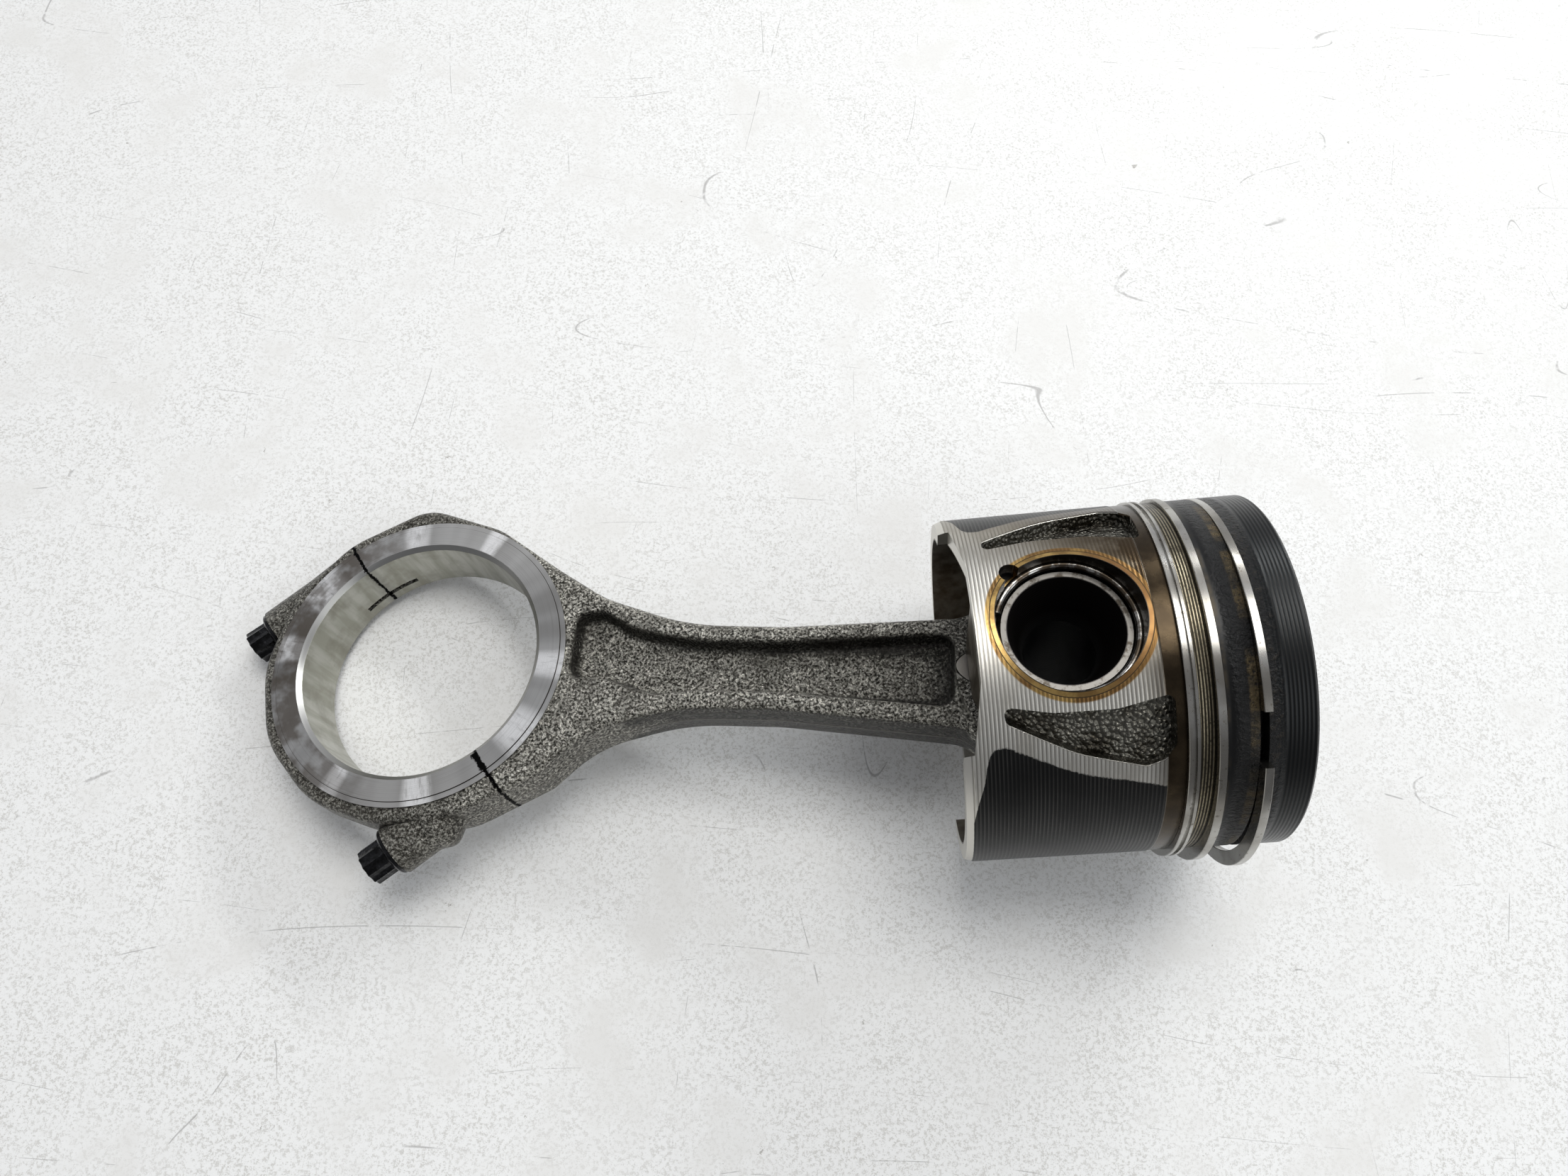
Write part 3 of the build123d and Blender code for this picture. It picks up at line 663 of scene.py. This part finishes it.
class PistonFinish(Finish):
    """A finish that knows the faces of the piston, and the stains and noises they share."""

    def __init__(self, name):
        super().__init__(name, PISTON_PLACE)
        self.side = self.y - PIN_OFFSET
        self.radius = self.side.hypot(self.z)
        self.angle = abs(self.side).math("ARCTAN2", abs(self.z)) * (180 / math.pi)
        self.skirt = self.radius.above(SKIRT_RADIUS, 0.04) * self.x.below(SKIRT_TOP, 0.1)
        self.lands = self.radius.above(LAND_RADIUS, 0.1) * self.x.above(SKIRT_TOP, 0.1)
        self.marks = self.x.wave(SKIRT_PITCH)
        self.fine = self.noise(0.6, 4, 0.7)
        self.cloud = self.noise(6, 4, 0.6, seed=4.0)
        self.crust = self.noise(1.1, 4, 0.65, seed=7.0)
        around = self.vector(0, self.side * 0.08, self.z * 0.08)
        self.sides = self.noise(1, 3, 0.6, at=around, seed=8.0)

    def gild(self, where, level, soft):
        """Golden patches of baked oil, rarer with a higher level."""
        patches = self.sides.above(level, soft) * self.crust.above(0.42, 0.1)
        self.layer(where * patches * 0.5, (0.17, 0.125, 0.06), 0.4)

    def encrust(self, where):
        """Flakes of carbon."""
        self.layer(where * self.crust.above(0.58, 0.05), (0.035, 0.032, 0.028), 0.45)


def clean_metal(metal):
    """Aluminium, with brown oil on the inside of the skirt."""
    inside = metal.radius.below(INSIDE_RADIUS, 0.1)
    metal.base((0.62, 0.60, 0.55), 0.36, 1.0)
    metal.layer(inside, (0.17, 0.15, 0.12), 0.45)
    metal.layer(inside * metal.cloud.above(0.5, 0.15), (0.07, 0.05, 0.03), 0.35)


def bare_skirt(metal):
    """Turning marks, with more and more brown oil towards the rings."""
    along, side, skirt = metal.x, metal.side, metal.skirt
    places = metal.vector(along * 0.25, side * 0.12, metal.z * 0.12)
    patchy = metal.noise(1, 3, 0.6, at=places, seed=2.0)
    dirty_marks = metal.marks.below(-0.35, 0.4) * patchy.above(0.35, 0.25)
    metal.raised(metal.marks * skirt * 0.02)
    metal.layer(skirt * dirty_marks * 0.6, (0.085, 0.076, 0.06), 0.42)
    metal.layer(skirt * patchy.below(0.45, 0.15) * 0.5, (0.28, 0.26, 0.22), 0.4)
    dulled = (along + side * 0.9).above(4, 20) * 0.9
    metal.layer(skirt * dulled, (0.125, 0.10, 0.065), 0.32)
    browned = (along * 0.8 + side * 0.6).above(15, 9) + along.above(15, 2.5) * 0.6
    browned = browned * metal.cloud.above(0.36, 0.2)
    metal.layer(skirt * browned.at_most(0.9), (0.040, 0.025, 0.012), 0.26)


def round_the_pin(metal):
    """A golden ring of baked oil round the bush, and the black notch for the circlip."""
    from_pin = metal.x.hypot(metal.y)
    ring_stain = from_pin.between(*GOLD_RING, 0.2) * metal.skirt
    reddened = (metal.cloud.below(0.46, 0.08) + metal.x.above(5, 8)).at_most(1)
    metal.layer(ring_stain * 0.95, (0.38, 0.24, 0.075), 0.3)
    metal.layer(ring_stain * reddened * 0.8, (0.13, 0.065, 0.026), 0.35)
    notch = from_pin.between(*CIRCLIP_NOTCH, 0.1) * metal.radius.between(*NOTCH_RADII, 0.1)
    metal.layer(notch * metal.x.below(NOTCH_TOP, 0.5), (0.008, 0.007, 0.006), 0.4, 0.2)


def cast_pockets(metal):
    """Rough, bumpy and wet with oil, with painted highlights on the tops of the bumps."""
    pocket = metal.radius.between(*POCKET_RADII, 0.12) * metal.angle.between(*POCKET_ANGLES, 1)
    pocket = pocket * metal.x.between(*POCKET_HEIGHTS, 0.3)
    bumps = metal.pits(0.95, seed=11.0).math("MULTIPLY_ADD", -0.9, 0.9)
    lumps_and_glints = bumps + metal.noise(0.8, 3) * 0.4
    metal.layer(pocket, (0.105, 0.10, 0.085), 0.3)
    # Painted highlight: the tops of the bumps are lighter.
    metal.layer(pocket * lumps_and_glints.above(0.82, 0.16), (0.23, 0.22, 0.19), 0.26)
    metal.layer(pocket * metal.cloud.below(0.47, 0.1) * 0.8, (0.035, 0.030, 0.022), 0.25)
    metal.raised(pocket * lumps_and_glints * 0.5)


def coated_panels(metal):
    """Nearly black thrust faces, with the skirt's turning marks through them."""
    edge = curve_of(metal, metal.x, COATING_EDGE, LOWEST_ANGLE, HIGHEST_ANGLE)
    panel = (metal.angle - edge + (metal.fine - 0.5) * 1.5).above(0, 0.35) * metal.skirt
    places = metal.vector(metal.x * 0.12, metal.angle * 0.05, 0)
    worn = metal.noise(1, 3, 0.6, at=places, seed=6.0)
    lines = metal.marks.above(0.45, 0.3) * (worn.above(0.48, 0.2) * 0.4 + 0.15)
    metal.layer(panel, (0.010, 0.010, 0.010), 0.4, 0.85)
    metal.layer(panel * lines, (0.075, 0.073, 0.068), 0.36, 0.9)


def lower_lands(metal):
    """Plain and olive below the oil ring, turned and sooty above it."""
    plain = metal.lands * metal.x.below(OIL_GROOVE[0], 0.1)
    metal.layer(plain, (0.055, 0.040, 0.024), 0.28)
    metal.layer(plain * metal.cloud.above(0.5, 0.16), (0.030, 0.022, 0.014), 0.24)
    third = metal.lands * metal.x.between(OIL_GROOVE[1], SECOND_GROOVE[0], 0.1)
    marks = metal.x.wave(THIRD_LAND_PITCH)
    lines = marks.above(0.2, 0.4) * metal.sides.above(0.44, 0.12) * metal.fine.above(0.4, 0.15)
    metal.layer(third, (0.030, 0.026, 0.019), 0.36)
    metal.layer(third * lines, (0.30, 0.26, 0.18), 0.3)
    metal.raised(third * marks * 0.03)


def second_land(metal):
    """Black with soot, rough towards the top ring and gilded beside it."""
    second = metal.lands * metal.x.between(SECOND_GROOVE[1], TOP_GROOVE[0], 0.1)
    dusty = metal.x.below(SECOND_GROOVE[1] + 1, 0.5) * metal.cloud.above(0.52, 0.1)
    metal.layer(second, SOOT, 0.33, 0.85)
    metal.layer(second * dusty, (0.045, 0.038, 0.028), 0.4)
    metal.gild(second * metal.x.above(TOP_GROOVE[0] - 1.2, 0.6), 0.56, 0.06)
    metal.raised(second * metal.x.above(SECOND_GROOVE[1] + 2.3, 1.2) * metal.crust * 0.9)


def top_land(metal):
    """Black all over: crusted with carbon beside the ring, with turning marks above that."""
    top = metal.x.above(TOP_GROOVE[1], 0.1)
    crusty = top * metal.x.below(TOP_GROOVE[1] + 3.1, 0.6)
    metal.layer(top, (0.012, 0.013, 0.0135), 0.33, 0.85)
    metal.encrust(crusty)
    metal.raised(crusty * metal.crust * 1.1)
    turned = metal.lands * top * metal.x.above(TOP_GROOVE[1] + 2.7, 0.5)
    marks = metal.x.wave(TOP_LAND_PITCH)
    metal.raised(turned * marks * 0.022)
    metal.layer(turned * marks.above(0.4, 0.3) * 0.4, (0.035, 0.034, 0.032), 0.34, 0.9)


def crown(metal):
    """Matt carbon on the crown and in its bowl."""
    bowl = metal.radius.below(BOWL_RADIUS, 0.2) * metal.x.above(BOWL_BOTTOM, 0.5)
    burnt = (metal.x.above(CROWN_FACE, 0.02) + bowl).at_most(1)
    metal.layer(burnt, (0.020, 0.018, 0.016), 0.75, 0.1)
    metal.layer(burnt * metal.cloud.above(0.55, 0.1), (0.055, 0.048, 0.040), 0.8, 0.1)
    metal.raised(burnt * metal.crust * 0.5)


def piston_metal():
    """The piston's layers, in the order in which they cover each other."""
    metal = PistonFinish("piston_aluminium")
    clean_metal(metal)
    bare_skirt(metal)
    round_the_pin(metal)
    cast_pockets(metal)
    coated_panels(metal)
    lower_lands(metal)
    second_land(metal)
    top_land(metal)
    crown(metal)
    metal.raised(metal.fine * 0.02)
    return metal.done()


paint(piston_metal(), "piston")

# Ring carrier: a hard iron ring, cast into the piston round its top groove so that the
# groove doesn't wear. Soot and carbon cover it, as they do the lands beside it.
carrier = PistonFinish("carrier_iron")
carrier.base(SOOT, 0.33, 0.85)
carrier.gild(carrier.x.between(TOP_GROOVE[0] - 1.9, TOP_GROOVE[0] + 0.1, 0.3), 0.54, 0.08)
carrier.encrust(carrier.x.above(TOP_GROOVE[1], 0.1))
carrier.raised(carrier.crust)
paint(carrier.done(), "ring_carrier")

# Piston rings: steel rings with a gap, sprung out of their grooves and hanging to one side.
# Their worn edges, and the oil ring's coil spring, are modelled here.
Ring = namedtuple("Ring", "middle height outer depth gap gap_direction droop")
# Middle from the pin's axis, height, outer radius, depth, gap, direction of the gap, droop
RINGS = {
    "top": Ring(35.975, 1.75, 43.65, 3.4, 11.5, 127.1, 2.3),
    "second": Ring(27.225, 1.75, 43.15, 3.3, 9.0, 250.0, 1.0),
    "oil": Ring(21.85, 2.4, 42.4, 2.5, 6.0, 10.0, 0.5),
}
DROOP_DIRECTION = math.radians(205.5)
EDGE_WEAR = 0.13
SLOT_DEPTH = 0.7
SLOT_HALF = 0.45
SLOT_FLOOR_HALF = 0.38
COIL_CENTRE = 39.5
COIL_HOLLOW = 0.85
COIL_RADIUS = 0.6
WIRE_RADIUS = 0.2
COIL_LEAN = 76
COIL_TURNS = 240
RING_STEPS = 288


def ring_frame(ring, direction):
    """Matrix from a ring drawn round Z, with its gap at +X, to the row frame."""
    centre = Vector((
        ring.middle,
        PIN_OFFSET + ring.droop * math.cos(DROOP_DIRECTION),
        ring.droop * math.sin(DROOP_DIRECTION),
    ))
    upright = Matrix(((0, 0, 1), (1, 0, 0), (0, 1, 0))).to_4x4()
    turned = Matrix.Rotation(math.radians(direction), 4, "Z")
    return out_of(PISTON_PLACE) @ Matrix.Translation(centre) @ upright @ turned


def ring_outline(ring, slotted):
    """Section of a ring, with a slot and a rounded hollow in the oil ring's."""
    outer, inner, half = ring.outer, ring.outer - ring.depth, ring.height / 2
    slot_floor = outer - SLOT_DEPTH
    section = [(inner, EDGE_WEAR - half), (inner + EDGE_WEAR, -half)]
    section += [(outer - EDGE_WEAR, -half), (outer, EDGE_WEAR - half)]
    if slotted:
        section += [(outer, -SLOT_HALF), (slot_floor, -SLOT_FLOOR_HALF)]
        section += [(slot_floor, SLOT_FLOOR_HALF), (outer, SLOT_HALF)]
    section += [(outer, half - EDGE_WEAR), (outer - EDGE_WEAR, half)]
    section += [(inner + EDGE_WEAR, half), (inner, half - EDGE_WEAR)]
    if slotted:
        for step in range(7):
            lean = math.radians(60 - 20 * step)
            hollow = (COIL_CENTRE + COIL_HOLLOW * math.cos(lean), COIL_HOLLOW * math.sin(lean))
            section.append(hollow)
    return section


def piston_ring(name, ring):
    """One ring, spun round Z as far as its gap."""
    shape = bmesh.new()
    section = outline(shape, ring_outline(ring, name == "oil"), closed=True)
    missing = math.asin(ring.gap / 2 / (ring.outer - ring.depth / 2)) / math.pi
    spin(shape, section, 1 - missing, RING_STEPS)
    matrix = ring_frame(ring, ring.gap_direction + missing * 180)
    piece_of(f"{name}_piston_ring", shape, matrix, f"{name}_ring_body", f"{name}_ring")


def coil_spring():
    """A turn of wire, leant over and copied round the oil ring."""
    coil = bmesh.new()
    inside, outside = COIL_RADIUS - WIRE_RADIUS, COIL_RADIUS + WIRE_RADIUS
    wire = ((inside, 0), (COIL_RADIUS, -WIRE_RADIUS), (outside, 0), (COIL_RADIUS, WIRE_RADIUS))
    spin(coil, outline(coil, wire, closed=True), steps=9)
    lean = Matrix.Rotation(math.radians(COIL_LEAN), 4, "X")
    into_groove = Matrix.Translation((COIL_CENTRE, 0, 0)) @ lean
    bmesh.ops.remove_doubles(coil, verts=coil.verts[:], dist=0.0005)
    bmesh.ops.transform(coil, matrix=into_groove, verts=coil.verts[:])
    one_turn = coil.verts[:] + coil.edges[:] + coil.faces[:]
    spin(coil, one_turn, 1 - 1 / COIL_TURNS, COIL_TURNS - 1, copies=True)
    matrix = ring_frame(RINGS["oil"], 0)
    piece_of("coil_spring", coil, matrix, "oil_ring_body", "oil_ring_expander", 60)


for name, ring in RINGS.items():
    piston_ring(name, ring)
coil_spring()

ring_steel = Finish("ring_steel", PISTON_PLACE)
around = ring_steel.vector(ring_steel.x * 0.05, ring_steel.y * 0.05, ring_steel.z * 0.05)
shades = ring_steel.noise(1, 3, 0.6, at=around, seed=3.0)
soot = ring_steel.noise(1.1, 4, 0.7)
ring_steel.base((0.42, 0.41, 0.385), 0.19, 1.0)
ring_steel.layer(shades.above(0.52, 0.1) * 0.7, (0.17, 0.155, 0.13), 0.26)
ring_steel.layer(soot.above(0.63, 0.04) * 0.6, (0.07, 0.055, 0.038), 0.38)
paint(ring_steel.done(), "top_piston_ring", "second_piston_ring", "oil_piston_ring")

coil_steel = Finish("coil_steel", PISTON_PLACE)
coil_steel.base((0.16, 0.15, 0.135), 0.3, 1.0)
coil_steel.layer(coil_steel.noise(2, 3, 0.6).above(0.52, 0.1), (0.045, 0.037, 0.028), 0.35)
paint(coil_steel.done(), "coil_spring")

# Floor: a pale painted board that the part lies on. It is spotted with dirt, and scratched
# in three directions, each scratch broken up into short stretches.
SCRATCHES = ((21.0, (1, 8, 1)), (33.0, (6, 1, 1)), (47.0, (9, 2, 1)))
FLOOR_SIZE = 4

floor_paint = Finish("floor_paint", (Vector((0, 0, 0)), Euler((0, 0, 0))))
wear = floor_paint.noise(40, 6, 0.65)
mottle = floor_paint.noise(0.75, 4, 0.8, seed=5.0)
dirt = floor_paint.noise(7, 5, 0.8, seed=15.0)
floor_paint.base((0.83, 0.83, 0.815), 0.6, 0.0)
floor_paint.layer(wear.above(0.42, 0.2) * mottle.above(0.54, 0.04) * 0.9, (0.58, 0.57, 0.54), 0.6)
floor_paint.layer(wear.below(0.42, 0.1) * 0.4, (0.66, 0.64, 0.60), 0.6)
floor_paint.layer(dirt.above(0.70, 0.02) * 0.8, (0.30, 0.28, 0.25), 0.6)
for seed, stretch in SCRATCHES:
    trail = abs(floor_paint.noise(30, 0, 0.4, stretch, seed=seed) - 0.5)
    broken_up = floor_paint.noise(22, 4, 0.7, seed=seed + 2).above(0.56, 0.03)
    scratch = trail.below(0.0009, 0.0006) * broken_up
    floor_paint.layer(scratch * 0.7, (0.34, 0.33, 0.32), 0.6)
floor_paint.raised(wear * 0.3)
bpy.ops.mesh.primitive_plane_add(size=FLOOR_SIZE)
floor = bpy.context.object
floor.name = "floor"
floor.data.materials.append(floor_paint.done())

# Lights: a large warm one overhead, a narrow one that draws thin highlights along the
# rings, and a cooler one on the crown's side. Each faces the middle of the part.

# Name, place, size, power in watts and colour
LIGHTS = (
    ("key", (0.08, 0.42, 1.35), (0.8, 0.6), 9.5, (1, 0.99, 0.97)),
    ("strip", (0.45, 0.75, 0.60), (0.5, 0.08), 3, (0.97, 0.99, 1)),
    ("fill", (0.9, -0.5, 0.9), (0.8, 0.8), 3.5, (0.95, 0.98, 1)),
)

for name, place, size, power, color in LIGHTS:
    light = bpy.data.lights.new(name, "AREA")
    light.shape = "RECTANGLE"
    light.size, light.size_y = size
    light.energy = power
    light.color = color
    lamp = bpy.data.objects.new(name, light)
    lamp.location = place
    lamp.rotation_euler = (-Vector(place)).to_track_quat("-Z", "Y").to_euler()
    bpy.context.scene.collection.objects.link(lamp)

# Room: what the bright metal mirrors all round. It is bright behind the object and darker
# on the camera's side, so that the metal isn't evenly grey.
world = bpy.data.worlds.new("soft_room")
world.use_nodes = True
room = world.node_tree
direction = room.nodes.new("ShaderNodeTexCoord")
parts = room.nodes.new("ShaderNodeSeparateXYZ")
room.links.new(direction.outputs["Generated"], parts.inputs[0])
brighter = room.nodes.new("ShaderNodeMapRange")
brighter.inputs["From Min"].default_value = -0.5
brighter.inputs["From Max"].default_value = 0.9
brighter.inputs["To Min"].default_value = 0.26
brighter.inputs["To Max"].default_value = 0.8
room.links.new(parts.outputs["Y"], brighter.inputs["Value"])
background = room.nodes["Background"]
background.inputs["Color"].default_value = (0.93, 0.95, 1, 1)
room.links.new(brighter.outputs["Result"], background.inputs["Strength"])
bpy.context.scene.world = world
bpy.context.scene.view_settings.view_transform = "Standard"

# Camera: where the photograph was taken from, as worked out from its perspective.
# It hangs 0.28 m above the floor and looks down at a slant.
camera_data = bpy.data.cameras.new("camera")
camera_data.lens = 23.53
camera_data.sensor_width = 36
camera = bpy.data.objects.new("camera", camera_data)
camera.location = (0.007896, -0.068336, 0.283728)
camera.rotation_euler = Euler((0.366764, -0.048458, 0.074812), "XYZ")
bpy.context.scene.collection.objects.link(camera)
bpy.context.scene.camera = camera
